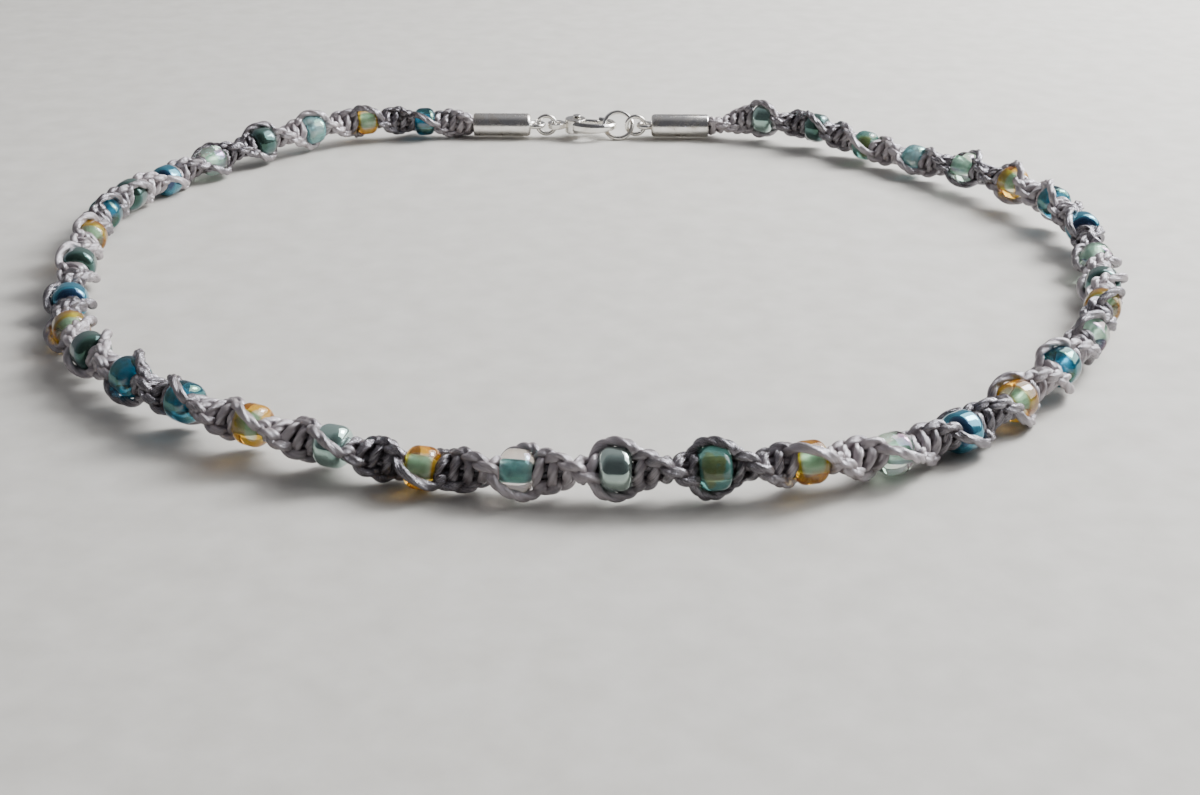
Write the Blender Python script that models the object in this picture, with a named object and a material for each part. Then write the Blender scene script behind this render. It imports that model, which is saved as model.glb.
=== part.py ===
"""A beaded choker tied in half knots, lying closed on a surface.

Metres, +Z up. The centre bead faces -Y and the clasp lies at +Y, with +X to the right of the
centre bead. Z = 0 is the surface. Along the cord, s runs from the mouth of the left end tube
round the front to the mouth of the right one.
"""
import math

import bmesh
import bpy
import numpy as np
from mathutils import Matrix, Vector

MM = 0.001

# Clearances
TOUCH_GAP = 0.25 * MM       # between pieces that touch on the real necklace
LINK_GAP = 0.20 * MM        # between one link's wire and the next
PIN_GAP = 0.10 * MM         # round the clasp's rivet and beside its lever
LIFT_OFF = 0.02 * MM        # under what lies on the surface

# Beads
BEAD_RADIUS = 1.95 * MM
BEAD_LENGTH = 2.85 * MM
BEAD_END_RADIUS = 1.30 * MM
BEAD_BELLY = 1.50 * MM      # length of the straight stretch in the middle of a bead
BEAD_SIDES = 10
BEAD_PITCH = 8.4 * MM
BEADS_LEFT = 19             # counted from the centre bead to the clasp
BEADS_RIGHT = 18

# Knotted cord
CORD_RADIUS = 0.45 * MM     # one working cord
CORE_HALF = 0.40 * MM       # the two filler cords, as they pass through a bead
BAND_HALF_WIDTH = 1.85 * MM
BAND_HALF_THICKNESS = 1.15 * MM
BAND_SECTIONS = 5           # between one bead's fork and the next
FORK_GAP = 0.875 * MM       # from a bead's end to where the side cords part
NECK_GAP = 0.28 * MM        # from a bead's end to where the fillers are gathered
LEAD_LEFT = 7.0 * MM        # from the left tube's mouth to the first bead's centre
LEAD_RIGHT = 7.9 * MM
TAIL_RADIUS = 0.90 * MM     # gathered cord ends, inside the tubes
TAIL_LENGTH = 3.0 * MM
TAIL_SPREAD = 1.6 * MM      # length over which the tail opens out to the full band

# Spiral of the knots, in degrees from the outward direction up
BEAD_TWIST = 40.0           # turn of the side cords along one bead
HALF_TURN = 180.0           # turn from one bead to the next, before the drift
PHASE_DRIFT = 32.0          # further turn from bead to bead, away from the front
LEAD_TURN = 200.0           # turn for each bead pitch between the tubes and the first beads
FRONT_PHASES = {
    -5: 247, -4: 235, -3: 220, -2: 182, -1: 150, 0: 116,
    1: 103, 2: 50, 3: 20, 4: -5, 5: -27,
}

# Side cords past a bead: place along it as a share of the bead's length from its centre, and
# distance from its axis as a share of the distance at its middle
SIDE_PATH = ((-0.49, 0.89), (-0.25, 1.0), (0.25, 1.0), (0.49, 0.89))

# Route of the cord on the surface, chosen by hand
ROUTE_POINTS = (
    (-31.4 * MM, 50.3 * MM), (-44.6 * MM, 39.4 * MM), (-54.2 * MM, 26.9 * MM),
    (-58.1 * MM, 10.9 * MM), (-56.8 * MM, -5.9 * MM), (-52.8 * MM, -23.8 * MM),
    (-42.0 * MM, -38.4 * MM), (-23.8 * MM, -50.0 * MM), (1.8 * MM, -55.4 * MM),
    (22.1 * MM, -52.7 * MM), (39.3 * MM, -40.8 * MM), (50.8 * MM, -25.6 * MM),
    (56.9 * MM, -6.1 * MM), (57.7 * MM, 8.9 * MM), (51.2 * MM, 25.1 * MM),
    (38.0 * MM, 40.7 * MM), (23.8 * MM, 51.5 * MM),
)
CLOSURE_CENTRE = (-0.3 * MM, 52.4 * MM)
LIFT_HEIGHT = 0.5 * MM      # how far the right rear of the loop stands off the surface
LIFT_FROM = 6               # bead at which that stretch begins, counted from the centre bead

# End tubes
TUBE_LENGTH = 8.2 * MM
TUBE_WALL = 0.45 * MM
TUBE_BORE_DEPTH = 4.2 * MM
TUBE_LIP = 0.25 * MM        # rounding at both ends
TUBE_SIDES = 14
EYE_RADIUS = 1.0 * MM       # to the middle of the wire, as for every ring here
EYE_WIRE = 0.35 * MM
EYE_SINK = 0.25 * MM

# Rings
JUMP_RADIUS = 1.3 * MM
JUMP_WIRE = 0.30 * MM
CATCH_RADIUS = 2.0 * MM
CATCH_WIRE = 0.30 * MM
RING_STEPS = 14
WIRE_SIDES = 6

# Clasp: x along it from the middle of its eye, y toward its lever
CLASP_EYE_RADIUS = 0.98 * MM
CLASP_EYE_HALF_WIDTH = 0.32 * MM
CLASP_EYE_THICKNESS = 0.80 * MM
CLASP_THICKNESS = 2.0 * MM
CLASP_NECK = 0.10 * MM       # how far the eye runs into the body
CLASP_BODY_RADIUS = 1.5 * MM
HOOK_AHEAD = 2.4 * MM       # from the body's centre to the hook's
HOOK_REACH = 3.1 * MM       # half-axes of the hook's middle line
HOOK_SPREAD = 2.0 * MM
HOOK_HALF_WIDTH = 0.42 * MM
HOOK_TIP_SHARE = 0.50       # thickness at the far end, as a share of the body's
HOOK_FROM = 205.0           # degrees round the hook's ellipse
HOOK_TO = 432.0
HOOK_STEPS = 14
PIVOT_AHEAD = 0.2 * MM      # from the body's centre to the rivet
PIVOT_Y = 0.7 * MM
RIVET_RADIUS = 0.35 * MM
RIVET_HEAD_RADIUS = 0.60 * MM
RIVET_HEAD_HEIGHT = 0.20 * MM
LEVER_THICKNESS = 0.90 * MM
LEVER_ROOT_RADIUS = 0.75 * MM
LEVER_HALF_WIDTH = 0.34 * MM
LEVER_FROM = 146.0          # degrees round the hook's ellipse
LEVER_TO = 68.0
LEVER_STEPS = 6
TAB_RADIUS = 0.50 * MM
TAB_OUT = 0.35 * MM         # from the hook's ellipse to the thumb tab's centre
CATCH_SLACK = 0.65 * MM     # between the hook and the ring that it holds

# Glass of each bead from the left tube to the right one
GLASS_ORDER = (
    "blue_teal", "amber_green", "pale_teal", "dark_green", "mint", "metal_blue", "dark_green",
    "blue_teal", "amber_green", "dark_green", "metal_blue", "amber_green", "dark_green",
    "blue_teal", "blue_teal", "amber_green", "steel_teal", "amber_green", "clear_teal",
    "dark_mirror",
    "picasso_green", "amber_green", "mint", "metal_blue", "amber_green", "blue_teal", "mint",
    "amber_green", "dark_green", "mint", "metal_blue", "blue_teal", "amber_green", "mint",
    "pale_teal", "picasso_green", "dark_green", "steel_teal",
)
GLASS_COLOURS = {
    "blue_teal": (0.02, 0.17, 0.26),
    "amber_green": (0.45, 0.33, 0.08),
    "pale_teal": (0.25, 0.42, 0.45),
    "dark_green": (0.03, 0.12, 0.09),
    "mint": (0.42, 0.58, 0.48),
    "metal_blue": (0.02, 0.11, 0.22),
    "steel_teal": (0.14, 0.25, 0.26),
    "clear_teal": (0.40, 0.55, 0.53),
    "dark_mirror": (0.07, 0.12, 0.11),
    "picasso_green": (0.16, 0.24, 0.14),
}

# Worked out from the sizes above
BEAD_COUNT = BEADS_LEFT + 1 + BEADS_RIGHT
BORE_RADIUS = CORE_HALF * math.sqrt(2) + TOUCH_GAP
SIDE_RADIUS = BEAD_RADIUS + TOUCH_GAP + CORD_RADIUS
FORK_OFFSET = BEAD_LENGTH / 2 + FORK_GAP
CORD_LENGTH = LEAD_LEFT + (BEAD_COUNT - 1) * BEAD_PITCH + LEAD_RIGHT
TUBE_BORE_RADIUS = TAIL_RADIUS + TOUCH_GAP
TUBE_RADIUS = TUBE_BORE_RADIUS + TUBE_WALL
CLASP_BODY_X = CLASP_EYE_RADIUS + CLASP_EYE_HALF_WIDTH - CLASP_NECK + CLASP_BODY_RADIUS
HOOK_CENTRE_X = CLASP_BODY_X + HOOK_AHEAD
PIVOT_X = CLASP_BODY_X + PIVOT_AHEAD
LEVER_DIP = LEVER_HALF_WIDTH + HOOK_HALF_WIDTH + PIN_GAP
CLOSURE_HEIGHT = max(TUBE_RADIUS, JUMP_RADIUS + JUMP_WIRE, BAND_HALF_WIDTH) + LIFT_OFF


def linked(radius_a, wire_a, radius_b, wire_b):
    """Distance between the centres of two links pulled nearly tight."""
    return radius_a + radius_b - (wire_a + wire_b + LINK_GAP)


# Places along the closure, from the left tube's mouth
LEFT_EYE_U = TUBE_LENGTH + EYE_RADIUS - EYE_SINK
LEFT_JUMP_U = LEFT_EYE_U + linked(EYE_RADIUS, EYE_WIRE, JUMP_RADIUS, JUMP_WIRE)
CLASP_U = LEFT_JUMP_U + linked(JUMP_RADIUS, JUMP_WIRE, CLASP_EYE_RADIUS, CLASP_EYE_HALF_WIDTH)
HOOK_INNER_X = HOOK_CENTRE_X + HOOK_REACH - HOOK_HALF_WIDTH
CATCH_U = CLASP_U + HOOK_INNER_X - CATCH_SLACK - CATCH_WIRE + CATCH_RADIUS
RIGHT_JUMP_U = CATCH_U + linked(CATCH_RADIUS, CATCH_WIRE, JUMP_RADIUS, JUMP_WIRE)
RIGHT_EYE_U = RIGHT_JUMP_U + linked(JUMP_RADIUS, JUMP_WIRE, EYE_RADIUS, EYE_WIRE)
CLOSURE_LENGTH = RIGHT_EYE_U + EYE_RADIUS - EYE_SINK + TUBE_LENGTH


def bead_index(number):
    """Index of a bead from the centre bead, negative to the left, for a bead numbered from 0."""
    return number - BEADS_LEFT


def bead_place(number):
    return LEAD_LEFT + number * BEAD_PITCH


def bead_phase(index):
    """Angle of the first side cord at a bead's middle, less the half turns."""
    first, last = min(FRONT_PHASES), max(FRONT_PHASES)
    if index < first:
        return FRONT_PHASES[first] + PHASE_DRIFT * (first - index)
    if index > last:
        return FRONT_PHASES[last] - PHASE_DRIFT * (index - last)
    return FRONT_PHASES[index]


def bead_angle(number):
    index = bead_index(number)
    return bead_phase(index) - HALF_TURN * index


def bead_height(number):
    """Height of a bead's axis: the bead or a side cord under it lies on the surface."""
    index = bead_index(number)
    lean = math.asin(abs(math.sin(math.radians(bead_phase(index)))))
    lowest = min(math.pi / 2, lean + math.radians(BEAD_TWIST / 2))
    height = max(BEAD_RADIUS, SIDE_RADIUS * math.sin(lowest) + CORD_RADIUS) + LIFT_OFF
    if index > LIFT_FROM:
        share = (index - LIFT_FROM) / (BEADS_RIGHT + 1 - LIFT_FROM)
        height += LIFT_HEIGHT * math.sin(math.pi * share)
    return height


class Route:
    """The cord's middle line: a smooth plan curve of fixed length, with a height along it."""

    SAMPLES = 24

    def __init__(self):
        low, high = 0.5, 2.0
        for _ in range(40):
            scale = (low + high) / 2
            self.trace(scale)
            if self.places[-1] > CORD_LENGTH:
                high = scale
            else:
                low = scale
        self.places *= CORD_LENGTH / self.places[-1]
        knots = [(0.0, CLOSURE_HEIGHT)]
        knots += [(bead_place(number), bead_height(number)) for number in range(BEAD_COUNT)]
        knots += [(CORD_LENGTH, CLOSURE_HEIGHT)]
        self.knots = np.array(knots)

    def trace(self, scale):
        """Clamped cubic spline through the chosen points, which the scale moves in or out."""
        half = CLOSURE_LENGTH / 2
        middle = np.array(CLOSURE_CENTRE) * scale
        ends = (middle - (half, 0), middle + (half, 0))
        points = np.vstack([ends[0], np.array(ROUTE_POINTS) * scale, ends[1]])
        gaps = np.linalg.norm(np.diff(points, axis=0), axis=1)
        slopes = np.diff(points, axis=0) / gaps[:, None]
        count = len(points)
        matrix = np.eye(count)
        wanted = np.zeros((count, 2))
        wanted[0] = wanted[-1] = (-1.0, 0.0)
        for i in range(1, count - 1):
            before, after = gaps[i - 1], gaps[i]
            matrix[i, i - 1:i + 2] = (after, 2 * (before + after), before)
            wanted[i] = 3 * (after * slopes[i - 1] + before * slopes[i])
        tangents = np.linalg.solve(matrix, wanted)
        track = []
        for i in range(count - 1):
            for step in range(self.SAMPLES):
                track.append(hermite(points[i:i + 2], tangents[i:i + 2], gaps[i],
                                     step / self.SAMPLES))
        track.append(points[-1])
        self.track = np.array(track)
        steps = np.linalg.norm(np.diff(self.track, axis=0), axis=1)
        self.places = np.concatenate([[0.0], np.cumsum(steps)])

    def height(self, s):
        s = min(max(s, 0.0), CORD_LENGTH)
        i = int(np.searchsorted(self.knots[:, 0], s, side="right")) - 1
        i = min(i, len(self.knots) - 2)
        start, end = self.knots[i], self.knots[i + 1]
        share = (s - start[0]) / (end[0] - start[0])
        return start[1] + (end[1] - start[1]) * (1 - math.cos(math.pi * share)) / 2

    def point(self, s):
        inside = min(max(s, 0.0), CORD_LENGTH)
        x = np.interp(inside, self.places, self.track[:, 0])
        y = np.interp(inside, self.places, self.track[:, 1])
        return Vector((x - (s - inside), y, self.height(s)))

    def frame(self, s):
        """Point, direction along the cord, outward direction and up direction at s."""
        reach = BEAD_LENGTH / 8
        along = (self.point(s + reach) - self.point(s - reach)).normalized()
        out = Vector((along.y, -along.x, 0.0)).normalized()
        return self.point(s), along, out, out.cross(along)

    def angle(self, s):
        """Angle of the band's wide side at s, in degrees."""
        edge = BEAD_LENGTH / 2
        first, last = bead_place(0), bead_place(BEAD_COUNT - 1)
        if s < first - edge:
            return bead_angle(0) + BEAD_TWIST / 2 + LEAD_TURN * (first - edge - s) / BEAD_PITCH
        if s > last + edge:
            return bead_angle(BEAD_COUNT - 1) - BEAD_TWIST / 2 - LEAD_TURN * (s - last - edge) / BEAD_PITCH
        places, angles = [], []
        for number in range(BEAD_COUNT):
            for side in (-1, 1):
                places.append(bead_place(number) + side * edge)
                angles.append(bead_angle(number) - side * BEAD_TWIST / 2)
        return float(np.interp(s, places, angles))


def hermite(points, tangents, gap, share):
    """Point on a cubic with given end points and end tangents."""
    square, cube = share ** 2, share ** 3
    start = (2 * cube - 3 * square + 1) * points[0] + (cube - 2 * square + share) * gap * tangents[0]
    end = (3 * square - 2 * cube) * points[1] + (cube - square) * gap * tangents[1]
    return start + end


def clear_scene():
    for item in list(bpy.data.objects):
        bpy.data.objects.remove(item)


def new_collection(name):
    collection = bpy.data.collections.new(name)
    bpy.context.scene.collection.children.link(collection)
    return collection


def new_material(name, colour, roughness, metallic=0.0):
    material = bpy.data.materials.new(name)
    material.use_nodes = True
    shader = material.node_tree.nodes["Principled BSDF"]
    shader.inputs["Base Color"].default_value = (*colour, 1.0)
    shader.inputs["Roughness"].default_value = roughness
    shader.inputs["Metallic"].default_value = metallic
    material.diffuse_color = (*colour, 1.0)
    return material


def mesh_from(bm, name):
    """Finish a bmesh: weld it, turn its faces out and round its shading."""
    bmesh.ops.remove_doubles(bm, verts=bm.verts, dist=0.0005 * MM)
    bmesh.ops.recalc_face_normals(bm, faces=bm.faces)
    mesh = bpy.data.meshes.new(name)
    bm.to_mesh(mesh)
    bm.free()
    mesh.shade_smooth()
    mesh.set_sharp_from_angle(angle=math.radians(40))
    return mesh


def place(name, mesh, material, collection, matrix=None):
    item = bpy.data.objects.new(name, mesh)
    if not mesh.materials:
        mesh.materials.append(None)
    collection.objects.link(item)
    item.material_slots[0].link = "OBJECT"
    item.material_slots[0].material = material
    if matrix is not None:
        item.matrix_world = matrix
    return item


def turned(name, profile, sides):
    """Body of revolution about X: the profile holds (x, radius) pairs and closes on itself."""
    bm = bmesh.new()
    verts = [bm.verts.new((x, radius, 0.0)) for x, radius in profile]
    edges = [bm.edges.new((verts[i - 1], verts[i])) for i in range(len(verts))]
    bmesh.ops.spin(bm, geom=verts + edges, cent=(0, 0, 0), axis=(1, 0, 0),
                   angle=2 * math.pi, steps=sides, use_merge=True)
    return mesh_from(bm, name)


def ring_mesh(name, radius, wire):
    """A wire ring in the XY plane."""
    bm = bmesh.new()
    verts = []
    for i in range(WIRE_SIDES):
        angle = 2 * math.pi * (i + 0.5) / WIRE_SIDES
        verts.append(bm.verts.new((radius + wire * math.cos(angle), 0.0, wire * math.sin(angle))))
    edges = [bm.edges.new((verts[i - 1], verts[i])) for i in range(len(verts))]
    bmesh.ops.spin(bm, geom=verts + edges, cent=(0, 0, 0), axis=(0, 0, 1),
                   angle=2 * math.pi, steps=RING_STEPS, use_merge=True)
    return mesh_from(bm, name)


def disc_mesh(name, radius, thickness, sides, x=0.0, y=0.0):
    bm = bmesh.new()
    bmesh.ops.create_cone(bm, cap_ends=True, segments=sides, radius1=radius, radius2=radius,
                          depth=thickness, matrix=Matrix.Translation((x, y, 0.0)))
    return mesh_from(bm, name)


def bridge(bm, ring_a, ring_b):
    """Quads between two rings with the same number of vertices."""
    for i in range(len(ring_a)):
        bm.faces.new((ring_a[i - 1], ring_a[i], ring_b[i], ring_b[i - 1]))


def combine(item, tool, operation):
    cut = item.modifiers.new(tool.name, "BOOLEAN")
    cut.operation = operation
    cut.object = tool
    cut.solver = "EXACT"


# The knotted cord

BAND_POINTS = 10
SIDE_A = (8, 9, 0, 1, 2)    # vertices of the band's ring that carry on as each side cord
SIDE_B = (3, 4, 5, 6, 7)
CORE = (2, 3, 7, 8)         # and as the filler cords between them


def band_ring(bm, route, s, half_width, half_thickness):
    point, _, out, up = route.frame(s)
    turn = math.radians(route.angle(s))
    wide = out * math.cos(turn) + up * math.sin(turn)
    thin = up * math.cos(turn) - out * math.sin(turn)
    ring = []
    for i in range(BAND_POINTS):
        angle = 2 * math.pi * i / BAND_POINTS
        offset = wide * half_width * math.cos(angle) + thin * half_thickness * math.sin(angle)
        ring.append(bm.verts.new(point + offset))
    return ring


def side_ring(bm, route, s, distance, tilt, side):
    """One section of a side cord, square to its own run. The side is 1 or -1."""
    point, along, out, up = route.frame(s)
    turn = math.radians(route.angle(s))
    wide = (out * math.cos(turn) + up * math.sin(turn)) * side
    thin = (up * math.cos(turn) - out * math.sin(turn)) * side
    lean = wide * math.cos(tilt) - along * math.sin(tilt)
    ring = []
    for i in (-2, -1, 0, 1, 2):
        angle = 2 * math.pi * i / 5
        offset = lean * math.cos(angle) + thin * math.sin(angle)
        ring.append(bm.verts.new(point + wide * distance + offset * CORD_RADIUS))
    return ring


def core_ring(bm, route, s):
    point, _, out, up = route.frame(s)
    turn = math.radians(route.angle(s))
    wide = out * math.cos(turn) + up * math.sin(turn)
    thin = up * math.cos(turn) - out * math.sin(turn)
    corners = ((1, 1), (-1, 1), (-1, -1), (1, -1))
    return [bm.verts.new(point + (wide * a + thin * b) * CORE_HALF) for a, b in corners]


def pass_bead(bm, route, centre, ring_in):
    """Carry the band past one bead as two side cords and a core, and join them again."""
    ring_out = band_ring(bm, route, centre + FORK_OFFSET, BAND_HALF_WIDTH, BAND_HALF_THICKNESS)
    rows = [(centre + along * BEAD_LENGTH, out * SIDE_RADIUS) for along, out in SIDE_PATH]
    start = (centre - FORK_OFFSET, BAND_HALF_WIDTH - CORD_RADIUS)
    end = (centre + FORK_OFFSET, BAND_HALF_WIDTH - CORD_RADIUS)
    path = [start] + rows + [end]
    for side, share in ((1, SIDE_A), (-1, SIDE_B)):
        last = [ring_in[i] for i in share]
        for i, (s, distance) in enumerate(rows):
            before, after = path[i], path[i + 2]
            tilt = math.atan2(after[1] - before[1], after[0] - before[0])
            ring = side_ring(bm, route, s, distance, tilt, side)
            bridge(bm, last, ring)
            last = ring
        bridge(bm, last, [ring_out[i] for i in share])
    last = [ring_in[i] for i in CORE]
    for side in (-1, 1):
        ring = core_ring(bm, route, centre + side * (BEAD_LENGTH / 2 + NECK_GAP))
        bridge(bm, last, ring)
        last = ring
    bridge(bm, last, [ring_out[i] for i in CORE])
    return ring_out


def tail_rings(bm, route, mouth, direction):
    """Rings from the cord's end inside a tube out to the full band."""
    stations = (
        (-TAIL_LENGTH, TAIL_RADIUS, TAIL_RADIUS),
        (TOUCH_GAP, TAIL_RADIUS, TAIL_RADIUS),
        (TAIL_SPREAD, BAND_HALF_WIDTH, BAND_HALF_THICKNESS),
    )
    return [band_ring(bm, route, mouth + direction * s, wide, thin) for s, wide, thin in stations]


def band_between(bm, route, ring, start, end, sections, ring_end=None):
    """Twisting band from a ring at start to one at end."""
    for i in range(1, sections + 1):
        if i == sections and ring_end is not None:
            following = ring_end
        else:
            s = start + (end - start) * i / sections
            following = band_ring(bm, route, s, BAND_HALF_WIDTH, BAND_HALF_THICKNESS)
        bridge(bm, ring, following)
        ring = following
    return ring


def knotted_cord(route, material, collection):
    bm = bmesh.new()
    left = tail_rings(bm, route, 0.0, 1)
    right = tail_rings(bm, route, CORD_LENGTH, -1)
    bm.faces.new(left[0])
    bm.faces.new(right[0])
    for rings in (left, right):
        for before, after in zip(rings, rings[1:]):
            bridge(bm, before, after)
    ring, place_now = left[-1], TAIL_SPREAD
    for number in range(BEAD_COUNT):
        centre = bead_place(number)
        ring = band_between(bm, route, ring, place_now, centre - FORK_OFFSET, BAND_SECTIONS)
        ring = pass_bead(bm, route, centre, ring)
        place_now = centre + FORK_OFFSET
    band_between(bm, route, ring, place_now, CORD_LENGTH - TAIL_SPREAD, BAND_SECTIONS, right[-1])
    return place("knotted_cord", mesh_from(bm, "knotted_cord"), material, collection)


# Beads

def bead_name(number):
    index = bead_index(number)
    if index == 0:
        return "bead_centre"
    side = "left" if index < 0 else "right"
    return f"bead_{side}_{abs(index):02d}"


def axis_matrix(point, along, out, up):
    """Placing matrix whose X runs along the cord."""
    turn = Matrix((along, out, -up)).transposed().to_4x4()
    return Matrix.Translation(point) @ turn


def beads(route, materials, collection):
    half, belly = BEAD_LENGTH / 2, BEAD_BELLY / 2
    profile = (
        (-half, BORE_RADIUS), (-half, BEAD_END_RADIUS), (-belly, BEAD_RADIUS),
        (belly, BEAD_RADIUS), (half, BEAD_END_RADIUS), (half, BORE_RADIUS),
    )
    mesh = turned("bead", profile, BEAD_SIDES)
    for number in range(BEAD_COUNT):
        glass = GLASS_ORDER[number % len(GLASS_ORDER)]
        matrix = axis_matrix(*route.frame(bead_place(number)))
        place(bead_name(number), mesh, materials[glass], collection, matrix)


# End tubes and rings

def at_closure(route, u, turn=None):
    """Placing matrix at a distance u along the closure, from the left tube's mouth."""
    matrix = Matrix.Translation(route.point(0.0) + Vector((u, 0.0, 0.0)))
    return matrix if turn is None else matrix @ turn


def end_tube(route, name, mouth_u, turn, material, collection, tools):
    """Tube with a bore for the cord's end. Its X runs from the mouth to the eye."""
    lip = TUBE_LIP
    profile = (
        (0.0, TUBE_BORE_RADIUS), (0.0, TUBE_RADIUS - lip), (lip, TUBE_RADIUS),
        (TUBE_LENGTH - lip, TUBE_RADIUS), (TUBE_LENGTH, TUBE_RADIUS - lip),
        (TUBE_LENGTH, 0.0), (TUBE_BORE_DEPTH, 0.0), (TUBE_BORE_DEPTH, TUBE_BORE_RADIUS),
    )
    matrix = at_closure(route, mouth_u, turn)
    tube = place(name, turned(name, profile, TUBE_SIDES), material, collection, matrix)
    eye_matrix = matrix @ Matrix.Translation((TUBE_LENGTH + EYE_RADIUS - EYE_SINK, 0.0, 0.0))
    mesh = ring_mesh(name + "_eye", EYE_RADIUS, EYE_WIRE)
    eye = place(name + "_eye_tool", mesh, material, tools, eye_matrix)
    combine(tube, eye, "UNION")


def jump_rings(route, material, collection):
    upright = Matrix.Rotation(math.pi / 2, 4, "X")
    mesh = ring_mesh("jump_ring", JUMP_RADIUS, JUMP_WIRE)
    for name, u in (("jump_ring_left", LEFT_JUMP_U), ("jump_ring_right", RIGHT_JUMP_U)):
        place(name, mesh, material, collection, at_closure(route, u, upright))


def catch_ring(route, material, collection):
    """Ring that the hook holds: it leans, with its lower side on the surface."""
    rise = min(1.0, (CLOSURE_HEIGHT - CATCH_WIRE - LIFT_OFF) / CATCH_RADIUS)
    lean = Matrix.Rotation(math.asin(rise), 4, "X")
    mesh = ring_mesh("catch_ring", CATCH_RADIUS, CATCH_WIRE)
    place("catch_ring", mesh, material, collection, at_closure(route, CATCH_U, lean))


# Clasp

def hook_point(degrees):
    """Point on the ellipse that the hook and the lever follow, and its outward direction."""
    angle = math.radians(degrees)
    point = Vector((HOOK_CENTRE_X + HOOK_REACH * math.cos(angle), HOOK_SPREAD * math.sin(angle), 0))
    out = Vector((math.cos(angle) / HOOK_REACH, math.sin(angle) / HOOK_SPREAD, 0)).normalized()
    return point, out


def swept_bar(name, degrees_from, degrees_to, steps, half_width, thickness_at, dip=0.0):
    """Bar of eight-sided section along the hook's ellipse, which it leaves inward by the dip."""
    bm = bmesh.new()
    last = None
    for i in range(steps + 1):
        share = i / steps
        point, out = hook_point(degrees_from + (degrees_to - degrees_from) * share)
        point -= out * dip * share
        half = thickness_at(point.x) / 2
        ring = []
        for corner in range(8):
            angle = 2 * math.pi * (corner + 0.5) / 8
            across = half_width * math.cos(angle) / math.cos(math.pi / 8)
            height = half * math.sin(angle) / math.cos(math.pi / 8)
            ring.append(bm.verts.new(point + out * across + Vector((0, 0, height))))
        if last is None:
            bm.faces.new(ring)
        else:
            bridge(bm, last, ring)
        last = ring
    bm.faces.new(last)
    return mesh_from(bm, name)


def hook_thickness(x):
    """Full at the body, thinner toward the far end of the hook."""
    far = HOOK_CENTRE_X + HOOK_REACH
    share = min(1.0, max(0.0, (x - CLASP_BODY_X) / (far - CLASP_BODY_X)))
    return CLASP_THICKNESS * (0.9 + (HOOK_TIP_SHARE - 0.9) * share)


def clasp_claw(matrix, material, collection, tools):
    mesh = swept_bar("clasp_claw", HOOK_FROM, HOOK_TO, HOOK_STEPS, HOOK_HALF_WIDTH,
                     hook_thickness)
    claw = place("clasp_claw", mesh, material, collection, matrix)
    eye_outer = CLASP_EYE_RADIUS + CLASP_EYE_HALF_WIDTH
    eye_inner = CLASP_EYE_RADIUS - CLASP_EYE_HALF_WIDTH
    slot_height = LEVER_THICKNESS + 2 * PIN_GAP
    body = disc_mesh("claw_body", CLASP_BODY_RADIUS, CLASP_THICKNESS, 16, CLASP_BODY_X, 0.0)
    eye = disc_mesh("claw_eye", eye_outer, CLASP_EYE_THICKNESS, 14)
    hole = disc_mesh("claw_eye_hole", eye_inner, CLASP_THICKNESS * 2, 12)
    pin = disc_mesh("claw_pin_hole", RIVET_RADIUS + PIN_GAP, CLASP_THICKNESS * 2, 10,
                    PIVOT_X, PIVOT_Y)
    slot = bmesh.new()
    root = LEVER_ROOT_RADIUS + TOUCH_GAP
    reach = HOOK_SPREAD + CLASP_BODY_RADIUS
    corner = Vector((PIVOT_X - root, PIVOT_Y - root, 0.0))
    size = Vector((2 * CLASP_BODY_RADIUS, reach, slot_height))
    middle = corner + Vector((size.x, size.y, 0.0)) / 2
    bmesh.ops.create_cube(slot, size=1.0, matrix=Matrix.Translation(middle)
                          @ Matrix.Diagonal((*size, 1.0)))
    slot_mesh = mesh_from(slot, "claw_slot")
    steps = ((body, "UNION"), (eye, "UNION"), (hole, "DIFFERENCE"), (slot_mesh, "DIFFERENCE"),
             (pin, "DIFFERENCE"))
    for tool_mesh, operation in steps:
        tool = place(tool_mesh.name + "_tool", tool_mesh, material, tools, matrix)
        combine(claw, tool, operation)


def clasp_lever(matrix, material, collection, tools):
    """Sprung gate of the clasp. Its origin is on the rivet's axis."""
    pivot = matrix @ Matrix.Translation((PIVOT_X, PIVOT_Y, 0.0))
    mesh = swept_bar("clasp_lever", LEVER_FROM, LEVER_TO, LEVER_STEPS, LEVER_HALF_WIDTH,
                     lambda x: LEVER_THICKNESS, LEVER_DIP)
    mesh.transform(Matrix.Translation((-PIVOT_X, -PIVOT_Y, 0.0)))
    lever = place("clasp_lever", mesh, material, collection, pivot)
    root = disc_mesh("lever_root", LEVER_ROOT_RADIUS, LEVER_THICKNESS, 14)
    tab_point, tab_out = hook_point((LEVER_FROM * 2 + LEVER_TO) / 3)
    tab_point = tab_point + tab_out * TAB_OUT - Vector((PIVOT_X, PIVOT_Y, 0.0))
    tab = disc_mesh("lever_tab", TAB_RADIUS, LEVER_THICKNESS * 0.9, 10, tab_point.x, tab_point.y)
    hole = disc_mesh("lever_hole", RIVET_RADIUS + PIN_GAP, LEVER_THICKNESS * 2, 10)
    for tool_mesh, operation in ((root, "UNION"), (tab, "UNION"), (hole, "DIFFERENCE")):
        tool = place(tool_mesh.name + "_tool", tool_mesh, material, tools, pivot)
        combine(lever, tool, operation)


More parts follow.
